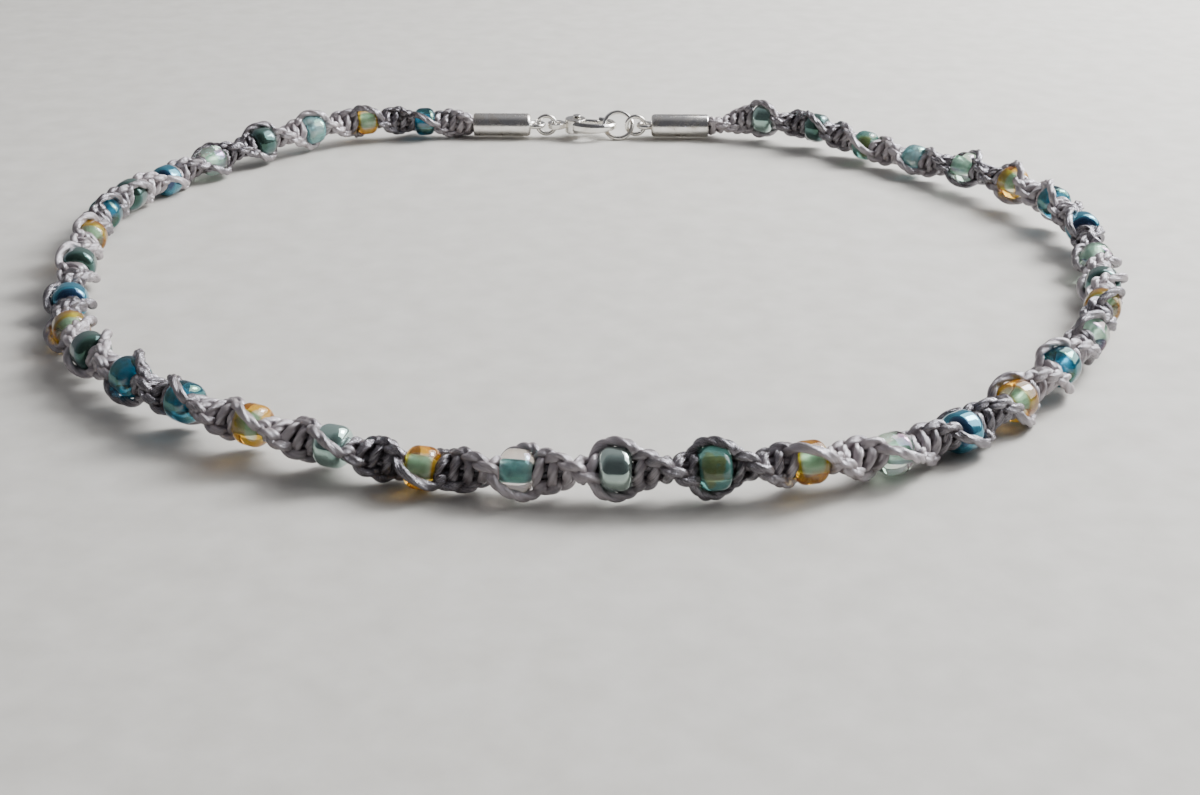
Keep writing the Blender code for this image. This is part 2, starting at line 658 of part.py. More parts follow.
def clasp_rivet(matrix, material, collection):
    shank = CLASP_THICKNESS / 2 + PIN_GAP
    top = shank + RIVET_HEAD_HEIGHT
    profile = (
        (-top, 0.0), (-top, RIVET_HEAD_RADIUS), (-shank, RIVET_HEAD_RADIUS), (-shank, RIVET_RADIUS),
        (shank, RIVET_RADIUS), (shank, RIVET_HEAD_RADIUS), (top, RIVET_HEAD_RADIUS), (top, 0.0),
    )
    upright = Matrix.Rotation(math.pi / 2, 4, "Y")
    where = matrix @ Matrix.Translation((PIVOT_X, PIVOT_Y, 0.0)) @ upright
    place("clasp_rivet", turned("clasp_rivet", profile, 10), material, collection, where)


def stand_on_origin(items, tools):
    """Move everything so that the origin is the bottom centre of the whole necklace's box."""
    depsgraph = bpy.context.evaluated_depsgraph_get()
    points = []
    for item in items:
        shape = item.evaluated_get(depsgraph)
        points += [item.matrix_world @ vert.co for vert in shape.to_mesh().vertices]
        shape.to_mesh_clear()
    low = [min(point[axis] for point in points) for axis in range(3)]
    high = [max(point[axis] for point in points) for axis in range(3)]
    shift = Matrix.Translation((-(low[0] + high[0]) / 2, -(low[1] + high[1]) / 2, -low[2]))
    for item in list(items) + list(tools):
        item.matrix_world = shift @ item.matrix_world


def build():
    clear_scene()
    necklace = new_collection("beaded_necklace")
    tools = new_collection("tools")
    cord_material = new_material("cord_satin", (0.22, 0.19, 0.18), 0.45)
    silver = new_material("silver", (0.82, 0.81, 0.79), 0.18, 1.0)
    glasses = {name: new_material("glass_" + name, colour, 0.08)
               for name, colour in GLASS_COLOURS.items()}
    route = Route()
    knotted_cord(route, cord_material, necklace)
    beads(route, glasses, necklace)
    turned_back = Matrix.Rotation(math.pi, 4, "Z")
    end_tube(route, "end_tube_left", 0.0, None, silver, necklace, tools)
    end_tube(route, "end_tube_right", CLOSURE_LENGTH, turned_back, silver, necklace, tools)
    jump_rings(route, silver, necklace)
    catch_ring(route, silver, necklace)
    clasp = at_closure(route, CLASP_U)
    clasp_claw(clasp, silver, necklace, tools)
    clasp_lever(clasp, silver, necklace, tools)
    clasp_rivet(clasp, silver, necklace)
    bpy.context.view_layer.update()
    stand_on_origin(necklace.objects, tools.objects)
    for tool in tools.objects:
        tool.hide_render = True
        tool.display_type = "WIRE"


build()
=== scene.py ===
"""A beaded choker tied in half knots: the finished look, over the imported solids.

Metres, +Z up. The centre bead faces -Y and the clasp lies at +Y. Along the cord, s runs from the
mouth of the left end tube round the front to the mouth of the right one, as in the part's source.
"""

import math

import bmesh
import bpy
from mathutils import Matrix, Vector
import numpy as np


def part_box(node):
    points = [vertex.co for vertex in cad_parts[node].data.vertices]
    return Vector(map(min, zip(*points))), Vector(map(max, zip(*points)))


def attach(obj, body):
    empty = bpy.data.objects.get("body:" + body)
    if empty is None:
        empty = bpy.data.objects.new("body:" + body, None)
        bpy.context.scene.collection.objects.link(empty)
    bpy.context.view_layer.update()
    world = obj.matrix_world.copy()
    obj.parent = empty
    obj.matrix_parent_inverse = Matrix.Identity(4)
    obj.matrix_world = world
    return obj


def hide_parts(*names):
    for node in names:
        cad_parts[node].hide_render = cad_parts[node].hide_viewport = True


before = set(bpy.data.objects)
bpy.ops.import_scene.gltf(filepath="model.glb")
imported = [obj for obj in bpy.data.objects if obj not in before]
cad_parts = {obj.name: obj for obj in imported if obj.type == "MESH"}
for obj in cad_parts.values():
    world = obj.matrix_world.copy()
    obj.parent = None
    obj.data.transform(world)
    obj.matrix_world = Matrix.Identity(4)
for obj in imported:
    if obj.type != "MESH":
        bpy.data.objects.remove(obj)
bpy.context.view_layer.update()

MM = 0.001

# Sizes that the part's source also has

TOUCH_GAP = 0.25 * MM         # between pieces that touch on the real necklace
LIFT_OFF = 0.02 * MM          # under what lies on the surface
BEAD_RADIUS = 1.95 * MM
BEAD_LENGTH = 2.85 * MM
BEAD_PITCH = 8.4 * MM
BEADS_LEFT = 19               # counted from the centre bead to the clasp
BEADS_RIGHT = 18
BEAD_COUNT = BEADS_LEFT + 1 + BEADS_RIGHT
CORD_RADIUS = 0.45 * MM       # one working cord
SIDE_RADIUS = BEAD_RADIUS + TOUCH_GAP + CORD_RADIUS
BAND_HALF_WIDTH = 1.85 * MM
LEAD_LEFT = 7.0 * MM          # from the left tube's mouth to the first bead's centre
LEAD_RIGHT = 7.9 * MM
CORD_LENGTH = LEAD_LEFT + (BEAD_COUNT - 1) * BEAD_PITCH + LEAD_RIGHT

# Spiral of the knots, in degrees from the outward direction up
BEAD_TWIST = 40.0             # turn of the side cords along one bead
HALF_TURN = 180.0             # turn from one bead to the next, before the drift
PHASE_DRIFT = 32.0            # further turn from bead to bead, away from the front
LEAD_TURN = 200.0             # turn for each bead pitch between the tubes and the first beads
FRONT_PHASES = {
    -5: 247, -4: 235, -3: 220, -2: 182, -1: 150, 0: 116,
    1: 103, 2: 50, 3: 20, 4: -5, 5: -27,
}

# Route of the cord on the surface
ROUTE_POINTS = (
    (-31.4 * MM, 50.3 * MM), (-44.6 * MM, 39.4 * MM), (-54.2 * MM, 26.9 * MM),
    (-58.1 * MM, 10.9 * MM), (-56.8 * MM, -5.9 * MM), (-52.8 * MM, -23.8 * MM),
    (-42.0 * MM, -38.4 * MM), (-23.8 * MM, -50.0 * MM), (1.8 * MM, -55.4 * MM),
    (22.1 * MM, -52.7 * MM), (39.3 * MM, -40.8 * MM), (50.8 * MM, -25.6 * MM),
    (56.9 * MM, -6.1 * MM), (57.7 * MM, 8.9 * MM), (51.2 * MM, 25.1 * MM),
    (38.0 * MM, 40.7 * MM), (23.8 * MM, 51.5 * MM),
)
CLOSURE_CENTRE = (-0.3 * MM, 52.4 * MM)
CLOSURE_LENGTH = 33.59 * MM   # from one tube's mouth to the other's, over the clasp
CLOSURE_HEIGHT = BAND_HALF_WIDTH + LIFT_OFF
LIFT_HEIGHT = 0.5 * MM        # how far the right rear of the loop stands off the surface
LIFT_FROM = 6                 # bead at which that stretch begins, counted from the centre bead

TUBE_LENGTH = 8.2 * MM
TUBE_RADIUS = 1.60 * MM
TUBE_WALL = 0.45 * MM
TUBE_BORE_DEPTH = 4.2 * MM
EYE_RADIUS = 1.0 * MM
EYE_WIRE = 0.35 * MM
EYE_SINK = 0.25 * MM          # of the eye into the tube's closed end
JUMP_RADIUS = 1.3 * MM
JUMP_WIRE = 0.30 * MM
CATCH_RADIUS = 2.0 * MM
CATCH_WIRE = 0.30 * MM

# Sizes that only the dressed model has

WELD = 0.001 * MM             # distance at which points are merged
EXTRA_TURNS = {-7: 12, -6: 24, 5: -18}  # of the dressed cords at a bead, in degrees
KNOTS = 5                     # half knots from one bead to the next
KNOT_PITCH = 1.16 * MM        # length of a half knot in the runs beside the tubes, about
KNOT_OVERLAP = 0.12 * MM      # of the first and last knot with the bead's rounded ends
TUBE_GAP = 0.1 * MM           # from a tube's mouth to the nearest knot
TAIL_NEAR = 0.6 * MM          # a working cord's last two points, from the mouth into the tube
TAIL_FAR = 2.4 * MM
TAIL_OFFSET = 0.45 * MM       # of those points, from the middle
PLIES = 3                     # of a working cord
PLY_PITCH = 5.5 * MM          # length in which they go once round, on average
PLY_LOOSENING = 0.3           # share by which they turn faster and slower
PLY_WANDER = 23.0 * MM        # from one fast place to the next
PLY_OFFSET = 0.22 * MM        # of a ply's middle from the cord's
PLY_RADIUS = 0.265 * MM
PLY_SIDES = 6                 # points of the section for each ply
SWEEP_STEPS = 4               # rings between one point of a cord's path and the next
STRETCHES = 4                 # lengths that a working cord is swept in
FILLER_RADIUS = 0.40 * MM
FILLER_OFFSET = 0.36 * MM     # of each from the middle of the band
FILLER_TAIL = (1.0 * MM, 2.0 * MM)         # places of its points inside a tube
BEAD_SHARES = (-0.9, -0.3, 0.3, 0.9)       # and inside a bead, in shares of half its length
FILLER_STEPS = 8              # points of a filler cord from one bead to the next
FILLER_SQUEEZE = 0.76         # share of their size that the fillers have inside a bead
SQUEEZE_RUN = 0.3 * MM        # in which they narrow, outside the bead
BEAD_BORE = 0.68 * MM
BORE_REACH = 1.02 * BEAD_BORE  # faces nearer to a bead's axis than this are lined
BEAD_SWELL = 0.06 * MM        # of a bead's middle over its shoulders
BEAD_ROUND = 0.90 * MM
BELLY_ROUND = 0.60 * MM
BORE_ROUND = 0.15 * MM
ROUND_STEP = 0.12 * MM        # of a rounded corner's radius to each of its segments
TURN_STEPS = 48               # sides of what is turned
WIRE_SIDES = 16
RING_STEPS = 56
JUMP_OPENING = 3.0            # degrees between the ends of a jump ring
MOUTH_ROUND = 0.10 * MM       # roundings of a tube, inside and outside at its mouth
RIM_ROUND = 0.22 * MM
HEAD_ROUND = 0.55 * MM        # and at its closed end
CAST_VOXEL = 0.06 * MM        # grain of the clasp's pieces, and rounds of smoothing on them
CAST_ROUNDS = 12

# One half knot of one working cord, in the frame that turns with the spiral: across the band,
# through it and along it, in millimetres from the knot's middle. The next half knot of the same
# cord is this one turned by half a turn, and so is the other cord's.
HIDDEN_POINT = 3              # the one that lies under the other cord
HALF_KNOT = (
    (-1.51, -0.58, -0.40), (-1.27, -0.85, 0.14), (-1.00, -0.46, 0.37), (-0.94, 0.26, 0.25),
    (-0.52, 0.73, 0.13), (0.07, 0.78, 0.01), (0.64, 0.67, -0.11), (1.06, 0.17, -0.23),
    (1.49, 0.04, -0.01), (1.55, 0.42, 0.53),
)
# A working cord beside a bead: along from the bead's middle, and out from its axis
BEAD_PASS = (
    (-1.68, 1.70), (-1.44, 2.00), (-1.10, 2.24), (-0.45, 2.39),
    (0.45, 2.39), (1.10, 2.24), (1.44, 2.00), (1.68, 1.70),
)

# Kind of glass of each bead, from the left end
GLASS_ORDER = (
    "blue_teal", "amber_green", "pale_teal", "dark_green", "mint", "metal_blue", "dark_green",
    "blue_teal", "amber_green", "dark_green", "metal_blue", "amber_green", "dark_green",
    "blue_teal", "blue_teal", "amber_green", "steel_teal", "amber_green", "clear_teal",
    "dark_mirror",
    "picasso_green", "amber_green", "mint", "metal_blue", "amber_green", "blue_teal", "mint",
    "amber_green", "dark_green", "mint", "metal_blue", "blue_teal", "amber_green", "mint",
    "pale_teal", "picasso_green", "dark_green", "steel_teal",
)

# Where the photograph was taken from, before the source's move onto its origin
CAMERA_PLACE = (1.32 * MM, -180.35 * MM, 69.17 * MM)
CAMERA_PITCH = 25.41          # degrees down
CAMERA_YAW = -0.03            # degrees to the right
CAMERA_ROLL = 0.31
LENS = 50.0
SENSOR = 36.0

# name: place, size in metres, power in watts
LIGHTS = {
    "window": ((0.36, 0.20, 0.30), (0.60, 0.50), 5.0),
    "pane": ((0.30, 0.16, 0.26), (0.14, 0.18), 3.2),
}
LIGHT_COLOUR = (0.98, 0.99, 1.0)
ROOM_BEHIND = (0.09, 0.09, 0.10)     # light of the room on the camera's side of the necklace
ROOM_AHEAD = (0.34, 0.34, 0.36)      # and on the far side
FLOOR_HALF = 2.0


# Route of the cord

def bead_index(number):
    """Index of a bead from the centre bead, negative to the left, for a bead numbered from 0."""
    return number - BEADS_LEFT


def bead_place(number):
    return LEAD_LEFT + number * BEAD_PITCH


def bead_phase(index):
    """Angle of the first side cord at a bead's middle, less the half turns."""
    first, last = min(FRONT_PHASES), max(FRONT_PHASES)
    if index < first:
        return FRONT_PHASES[first] + PHASE_DRIFT * (first - index)
    if index > last:
        return FRONT_PHASES[last] - PHASE_DRIFT * (index - last)
    return FRONT_PHASES[index]


def bead_angle(number):
    index = bead_index(number)
    return bead_phase(index) - HALF_TURN * index


def bead_height(number):
    """Height of a bead's axis: the bead or a side cord under it lies on the surface."""
    index = bead_index(number)
    lean = math.asin(abs(math.sin(math.radians(bead_phase(index)))))
    lowest = min(math.pi / 2, lean + math.radians(BEAD_TWIST / 2))
    height = max(BEAD_RADIUS, SIDE_RADIUS * math.sin(lowest) + CORD_RADIUS) + LIFT_OFF
    if index > LIFT_FROM:
        share = (index - LIFT_FROM) / (BEADS_RIGHT + 1 - LIFT_FROM)
        height += LIFT_HEIGHT * math.sin(math.pi * share)
    return height


def hermite(points, tangents, gap, share):
    """Point on a cubic with given end points and end tangents."""
    square, cube = share ** 2, share ** 3
    start = (2 * cube - 3 * square + 1) * points[0] + (cube - 2 * square + share) * gap * tangents[0]
    end = (3 * square - 2 * cube) * points[1] + (cube - square) * gap * tangents[1]
    return start + end


class Route:
    """The cord's middle line: a smooth plan curve of fixed length, with a height along it."""

    SAMPLES = 24   # traced from one chosen point to the next
    HALVINGS = 40  # of the range of scales

    def __init__(self):
        low, high = 0.5, 2.0  # scales between which the right length is looked for
        for _ in range(self.HALVINGS):
            scale = (low + high) / 2
            self.trace(scale)
            if self.places[-1] > CORD_LENGTH:
                high = scale
            else:
                low = scale
        self.places *= CORD_LENGTH / self.places[-1]
        knots = [(0.0, CLOSURE_HEIGHT)]
        knots += [(bead_place(number), bead_height(number)) for number in range(BEAD_COUNT)]
        knots += [(CORD_LENGTH, CLOSURE_HEIGHT)]
        self.knots = np.array(knots)
        edge = BEAD_LENGTH / 2
        self.turn_places, self.turns = [], []
        for number in range(BEAD_COUNT):
            angle = bead_angle(number) + EXTRA_TURNS.get(bead_index(number), 0)
            for side in (-1, 1):
                self.turn_places.append(bead_place(number) + side * edge)
                self.turns.append(angle - side * BEAD_TWIST / 2)

    def trace(self, scale):
        """Clamped cubic spline through the chosen points, which the scale moves in or out."""
        half = CLOSURE_LENGTH / 2
        middle = np.array(CLOSURE_CENTRE) * scale
        ends = (middle - (half, 0), middle + (half, 0))
        points = np.vstack([ends[0], np.array(ROUTE_POINTS) * scale, ends[1]])
        gaps = np.linalg.norm(np.diff(points, axis=0), axis=1)
        slopes = np.diff(points, axis=0) / gaps[:, None]
        count = len(points)
        matrix = np.eye(count)
        wanted = np.zeros((count, 2))
        wanted[0] = wanted[-1] = (-1.0, 0.0)
        for i in range(1, count - 1):
            before, after = gaps[i - 1], gaps[i]
            matrix[i, i - 1:i + 2] = (after, 2 * (before + after), before)
            wanted[i] = 3 * (after * slopes[i - 1] + before * slopes[i])
        tangents = np.linalg.solve(matrix, wanted)
        track = []
        for i in range(count - 1):
            for step in range(self.SAMPLES):
                track.append(hermite(points[i:i + 2], tangents[i:i + 2], gaps[i],
                                     step / self.SAMPLES))
        track.append(points[-1])
        self.track = np.array(track)
        steps = np.linalg.norm(np.diff(self.track, axis=0), axis=1)
        self.places = np.concatenate([[0.0], np.cumsum(steps)])

    def height(self, s):
        s = min(max(s, 0.0), CORD_LENGTH)
        i = int(np.searchsorted(self.knots[:, 0], s, side="right")) - 1
        i = min(i, len(self.knots) - 2)
        start, end = self.knots[i], self.knots[i + 1]
        share = (s - start[0]) / (end[0] - start[0])
        return start[1] + (end[1] - start[1]) * (1 - math.cos(math.pi * share)) / 2

    def point(self, s):
        """Point of the middle line, which goes on straight into the tubes."""
        inside = min(max(s, 0.0), CORD_LENGTH)
        x = np.interp(inside, self.places, self.track[:, 0])
        y = np.interp(inside, self.places, self.track[:, 1])
        return Vector((x - (s - inside), y, self.height(s)))

    def frame(self, s):
        """Point, direction along the cord, outward direction and up direction at s."""
        reach = BEAD_LENGTH / 8
        along = (self.point(s + reach) - self.point(s - reach)).normalized()
        out = Vector((along.y, -along.x, 0.0)).normalized()
        return self.point(s), along, out, out.cross(along)

    def angle(self, s):
        """Angle of the band's wide side at s, in degrees."""
        first, last = self.turn_places[0], self.turn_places[-1]
        if s < first:
            return self.turns[0] + LEAD_TURN * (first - s) / BEAD_PITCH
        if s > last:
            return self.turns[-1] - LEAD_TURN * (s - last) / BEAD_PITCH
        return float(np.interp(s, self.turn_places, self.turns))

    def beside(self, s, across, through):
        """Point at s, moved across and through the band where it has turned to."""
        point, _, out, up = self.frame(s)
        turn = math.radians(self.angle(s))
        wide = out * math.cos(turn) + up * math.sin(turn)
        thin = up * math.cos(turn) - out * math.sin(turn)
        return point + wide * across + thin * through


def box_centre(node):
    """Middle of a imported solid's box."""
    low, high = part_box(node)
    return (Vector(low) + Vector(high)) / 2


def source_shift(route):
    """How far the source moved everything to stand it on its origin."""
    return box_centre("bead_centre") - route.point(bead_place(BEADS_LEFT))


# Materials

def new_finish(name, **constants):
    """Material with one shader. What is the same all over goes on the shader's own sockets."""
    material = bpy.data.materials.new(name)
    material.use_nodes = True
    shader = material.node_tree.nodes["Principled BSDF"]
    for socket, value in constants.items():
        shader.inputs[socket.replace("_", " ")].default_value = value
    return material


def add_node(owner, kind, inputs=None, **settings):
    """Node of a material or world. An input is a value or another node's output."""
    tree = owner.node_tree
    node = tree.nodes.new(kind)
    for setting, value in settings.items():
        setattr(node, setting, value)
    for socket, value in (inputs or {}).items():
        if isinstance(value, bpy.types.NodeSocket):
            tree.links.new(value, node.inputs[socket])
        else:
            node.inputs[socket].default_value = value
    return node


def to_shader(material, socket, source):
    shader = material.node_tree.nodes["Principled BSDF"]
    material.node_tree.links.new(source, shader.inputs[socket])


def noise(material, size, detail=2.0, vector=None, stretch=(1.0, 1.0, 1.0)):
    """Noise whose patches are about size across."""
    if vector is None:
        vector = add_node(material, "ShaderNodeTexCoord").outputs["Object"]
    mapping = add_node(material, "ShaderNodeMapping", {"Vector": vector, "Scale": stretch})
    texture = add_node(material, "ShaderNodeTexNoise", {
        "Vector": mapping.outputs["Vector"], "Scale": 1.0 / size, "Detail": detail})
    return texture.outputs["Fac"]


def ramp(owner, factor, stops):
    """Colour for a factor. Each stop is a position and a colour."""
    node = add_node(owner, "ShaderNodeValToRGB", {"Fac": factor})
    elements = node.color_ramp.elements
    while len(elements) < len(stops):
        elements.new(0.5)
    for element, (position, colour) in zip(elements, stops):
        element.position = position
        element.color = (*colour, 1.0)
    return node.outputs["Color"]


def grey(value):
    return (value, value, value)


def times_plus(material, first, second, third):
    """First times second, plus third."""
    return add_node(material, "ShaderNodeMath", {0: first, 1: second, 2: third},
                    operation="MULTIPLY_ADD").outputs[0]


def add_bump(material, height, distance, strength=1.0):
    node = add_node(material, "ShaderNodeBump", {
        "Height": height, "Distance": distance, "Strength": strength})
    to_shader(material, "Normal", node.outputs["Normal"])


def cord_finish(name, dark, light):
    """Satin cord: filaments along each ply spread the lustre round it, and shade is painted into the
    grooves between the plies, which are darker.
    """
    material = new_finish(name, IOR=2.0, Specular_IOR_Level=1.0, Anisotropic=0.4,
                          Specular_Tint=(0.93, 0.91, 1.0, 1.0))
    uv = add_node(material, "ShaderNodeTexCoord").outputs["UV"]
    around = add_node(material, "ShaderNodeSeparateXYZ", {"Vector": uv}).outputs["X"]
    ply_turn = times_plus(material, around, 2 * math.pi * PLIES, math.pi / PLY_SIDES)
    painted_groove_shade = add_node(material, "ShaderNodeMath", {0: ply_turn}, operation="COSINE").outputs[0]
    filaments = noise(material, 0.02, vector=uv, stretch=(1.0, 3.0, 1.0))
    patches = noise(material, 3.0 * MM, 3.0)
    mixed = times_plus(material, patches, 0.5, filaments)
    halved = add_node(material, "ShaderNodeMath", {0: mixed, 1: 0.5},
                      operation="MULTIPLY").outputs[0]
    # Painted shade: the colour darkens toward the grooves between the plies, by the angle round the
    # cord; the noise gives the cord's own uneven tone.
    shade = times_plus(material, painted_groove_shade, 0.16, halved)
    to_shader(material, "Base Color", ramp(material, shade, ((0.25, dark), (0.50, light))))
    to_shader(material, "Roughness", ramp(material, filaments, (
        (0.3, grey(0.14)), (0.7, grey(0.25)))))
    to_shader(material, "Tangent", add_node(
        material, "ShaderNodeTangent", direction_type="UV_MAP").outputs["Tangent"])
    add_bump(material, filaments, 0.05 * MM, 0.8)
    return material


GLASS_LOOKS = {
    # name: colour seen straight on and toward the edge, mottling, transmission, metallic,
    # roughness, film in nanometres. Toward the edge the clear beads show their glass's own colour
    # through more of it; the lighter edge colour of dark_green, metal_blue, steel_teal and
    # dark_mirror is a painted sheen
    "blue_teal": ((0.10, 0.37, 0.48), (0.01, 0.10, 0.16), 0.4, 0.9, 0.05, 0.06, 430),
    "amber_green": ((0.84, 0.92, 0.66), (0.95, 0.36, 0.005), 0.2, 0.85, 0.0, 0.03, 0),
    "pale_teal": ((0.56, 0.76, 0.76), (0.28, 0.52, 0.54), 0.3, 0.6, 0.1, 0.07, 430),
    "dark_green": ((0.05, 0.085, 0.07), (0.09, 0.16, 0.13), 0.5, 0.2, 0.5, 0.09, 380),
    "mint": ((0.90, 0.96, 0.90), (0.52, 0.74, 0.60), 0.3, 1.0, 0.0, 0.04, 350),
    "metal_blue": ((0.02, 0.08, 0.17), (0.05, 0.23, 0.34), 0.4, 0.1, 0.6, 0.09, 450),
    "steel_teal": ((0.28, 0.42, 0.38), (0.46, 0.62, 0.56), 0.4, 0.1, 0.85, 0.08, 400),
    "clear_teal": ((0.97, 0.98, 0.95), (0.88, 0.78, 0.70), 0.2, 0.95, 0.0, 0.02, 380),
    "dark_mirror": ((0.34, 0.44, 0.41), (0.55, 0.68, 0.62), 0.3, 0.0, 0.9, 0.12, 300),
    "picasso_green": ((0.22, 0.28, 0.12), (0.13, 0.34, 0.31), 1.6, 0.6, 0.0, 0.05, 0),
}
LINING_COLOURS = {
    "amber_green": ((0.16, 0.36, 0.27), (0.28, 0.52, 0.42)),
    "mint": ((0.32, 0.60, 0.46), (0.56, 0.80, 0.68)),
    "clear_teal": ((0.04, 0.17, 0.17), (0.13, 0.40, 0.38)),
    "pale_teal": ((0.16, 0.38, 0.42), (0.34, 0.60, 0.62)),
    "picasso_green": ((0.12, 0.16, 0.05), (0.16, 0.34, 0.26)),
    "blue_teal": ((0.07, 0.38, 0.52), (0.24, 0.66, 0.80)),
}
PLAIN_LINING = ((0.02, 0.05, 0.05), (0.07, 0.12, 0.12))
RIM_FROM = 0.10               # how far from straight on a bead's colour starts to change
RIM_RUN = 0.14                # and over how much it goes on changing


def glass_finish(name):
    ahead, edge, mottling, transmission, metallic, roughness, film = GLASS_LOOKS[name]
    material = new_finish(
        "glass_" + name, Transmission_Weight=transmission, Metallic=metallic, IOR=1.52,
        Thin_Film_Thickness=film, Thin_Film_IOR=1.7, Coat_Weight=0.3, Coat_Roughness=0.03)
    patches = noise(material, 1.6 * MM, 3.0)
    # Colour by angle of view: toward the edge the glass's own colour through more of it, and on the
    # metallic beads a painted sheen.
    facing = add_node(material, "ShaderNodeLayerWeight", {"Blend": 0.4}).outputs["Facing"]
    thickness_and_sheen = times_plus(material, patches, mottling, facing)
    start = RIM_FROM + mottling / 2
    to_shader(material, "Base Color", ramp(material, thickness_and_sheen, (
        (start, ahead), (start + RIM_RUN, edge))))
    low, high = grey(roughness * 0.6), grey(roughness * 1.8)
    to_shader(material, "Roughness", ramp(material, patches, ((0.3, low), (0.7, high))))
    add_bump(material, noise(material, 0.9 * MM, 1.0), 0.015 * MM, 0.4)
    return material


def lining_finish(name):
    """Colour inside a bead's bore, which the clear glass over it magnifies."""
    dark, light = LINING_COLOURS.get(name, PLAIN_LINING)
    material = new_finish("lining_" + name, Metallic=0.2, Roughness=0.3)
    patches = noise(material, 0.8 * MM, 3.0)
    to_shader(material, "Base Color", ramp(material, patches, ((0.35, dark), (0.65, light))))
    return material


def silver_finish():
    """Silver plate: polished, with fine rubbing marks and a warm dull film in places."""
    material = new_finish("silver_plate", Metallic=1.0)
    film = noise(material, 1.8 * MM, 4.0)
    rubbing = noise(material, 0.12 * MM, stretch=(1.0, 6.0, 6.0))
    to_shader(material, "Base Color", ramp(material, film, (
        (0.30, (0.62, 0.57, 0.50)), (0.52, (0.86, 0.84, 0.80)), (0.75, (0.95, 0.94, 0.92)))))
    to_shader(material, "Roughness", ramp(material, film, ((0.3, grey(0.34)), (0.65, grey(0.15)))))
    add_bump(material, rubbing, 0.01 * MM, 0.4)
    return material


def floor_finish():
    material = new_finish("pale_floor", Roughness=0.75)
    patches = noise(material, 4.0 * MM, 5.0)
    to_shader(material, "Base Color", ramp(material, patches, (
        (0.3, (0.56, 0.54, 0.50)), (0.7, (0.64, 0.62, 0.58)))))
    return material


# Making pieces

def mesh_object(name, bm, *finishes):
    """Object from a bmesh, with smooth faces that point outwards."""
    bmesh.ops.recalc_face_normals(bm, faces=bm.faces)
    for face in bm.faces:
        face.smooth = True
    mesh = bpy.data.meshes.new(name)
    bm.to_mesh(mesh)
    bm.free()
    for finish in finishes:
        mesh.materials.append(finish)
    item = bpy.data.objects.new(name, mesh)
    bpy.context.scene.collection.objects.link(item)
    return item


def dress(item, body, slot, *nodes):
    """Let a piece ride on its body and stand for its CAD nodes."""
    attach(item, body)
    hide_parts(*nodes)


def ply_section():
    """Section of a cord of several plies, as a closed flat curve."""
    curve = bpy.data.curves.new("ply_section", "CURVE")
    curve.dimensions = "2D"
    spline = curve.splines.new("POLY")
    count = PLIES * PLY_SIDES
    half = math.pi / PLIES
    spline.points.add(count - 1)
    spline.use_cyclic_u = True
    for i in range(count):
        angle = 2 * math.pi * (i + 0.5) / count
        off = (angle + half) % (2 * half) - half
        across = PLY_OFFSET * math.sin(off)
        radius = PLY_OFFSET * math.cos(off) + math.sqrt(PLY_RADIUS ** 2 - across ** 2)
        spline.points[i].co = (radius * math.cos(angle), radius * math.sin(angle), 0.0, 1.0)
    section = bpy.data.objects.new("ply_section", curve)
    bpy.context.scene.collection.objects.link(section)
    return section


def swept_cord(name, paths, finish, section=None, radius=0.0, widths=None, steps=SWEEP_STEPS):
    """Mesh of cords along smooth paths. With a section, its plies turn as the cord goes on.

    Widths are shares of the section's size at the points of every path.
    """
    curve = bpy.data.curves.new(name, "CURVE")
    curve.dimensions = "3D"
    curve.twist_mode = "MINIMUM"
    curve.resolution_u = steps
    curve.use_fill_caps = True
    if section is None:
        curve.bevel_depth = radius
        curve.bevel_resolution = 2
    else:
        curve.bevel_mode = "OBJECT"
        curve.bevel_object = section
    wander = PLY_WANDER / (2 * math.pi)
    for path in paths:
        spline = curve.splines.new("NURBS")
        spline.points.add(len(path) - 1)
        spline.order_u = 4
        spline.use_endpoint_u = True
        steps_along = [(after - before).length for before, after in zip(path, path[1:])]
        run = -sum(steps_along) / 2
        for point, place, step, width in zip(
                spline.points, path, [0.0] + steps_along, widths or [1.0] * len(path)):
            run += step
            point.co = (*place, 1.0)
            point.radius = width
            ahead = PLY_LOOSENING * wander * math.sin(run / wander)
            point.tilt = 2 * math.pi * (run + ahead) / PLY_PITCH
    sweep = bpy.data.objects.new(name + "_sweep", curve)
    bpy.context.scene.collection.objects.link(sweep)
    depsgraph = bpy.context.evaluated_depsgraph_get()
    mesh = bpy.data.meshes.new_from_object(sweep.evaluated_get(depsgraph))
    bpy.data.objects.remove(sweep)
    bpy.data.curves.remove(curve)
    bm = bmesh.new()
    bm.from_mesh(mesh)
    bpy.data.meshes.remove(mesh)
    bmesh.ops.remove_doubles(bm, verts=bm.verts, dist=WELD)
    return mesh_object(name, bm, finish)


def turned(name, outline, matrix, *finishes):
    """Solid turned about X. The outline gives places along, radii and the rounding of corners."""
    bm = bmesh.new()
    verts = [bm.verts.new((x, radius, 0.0)) for x, radius, _ in outline]
    bm.faces.new(verts)
    for rounding in sorted({corner[2] for corner in outline if corner[2]}, reverse=True):
        corners = [vert for vert, corner in zip(verts, outline) if corner[2] == rounding]
        bmesh.ops.bevel(bm, geom=corners, offset=rounding, offset_type="OFFSET",
                        segments=max(3, round(rounding / ROUND_STEP)), profile=0.5,
                        affect="VERTICES", material=-1)
    bmesh.ops.delete(bm, geom=list(bm.faces), context="FACES_ONLY")
    on_axis = [edge for edge in bm.edges if max(abs(vert.co.y) for vert in edge.verts) < WELD]
    bmesh.ops.delete(bm, geom=on_axis, context="EDGES")
    bmesh.ops.spin(bm, geom=list(bm.verts) + list(bm.edges), cent=(0, 0, 0), axis=(1, 0, 0),
                   angle=2 * math.pi, steps=TURN_STEPS, use_merge=True)
    bmesh.ops.remove_doubles(bm, verts=bm.verts, dist=WELD)
    bmesh.ops.transform(bm, verts=bm.verts, matrix=matrix)
    return mesh_object(name, bm, *finishes)


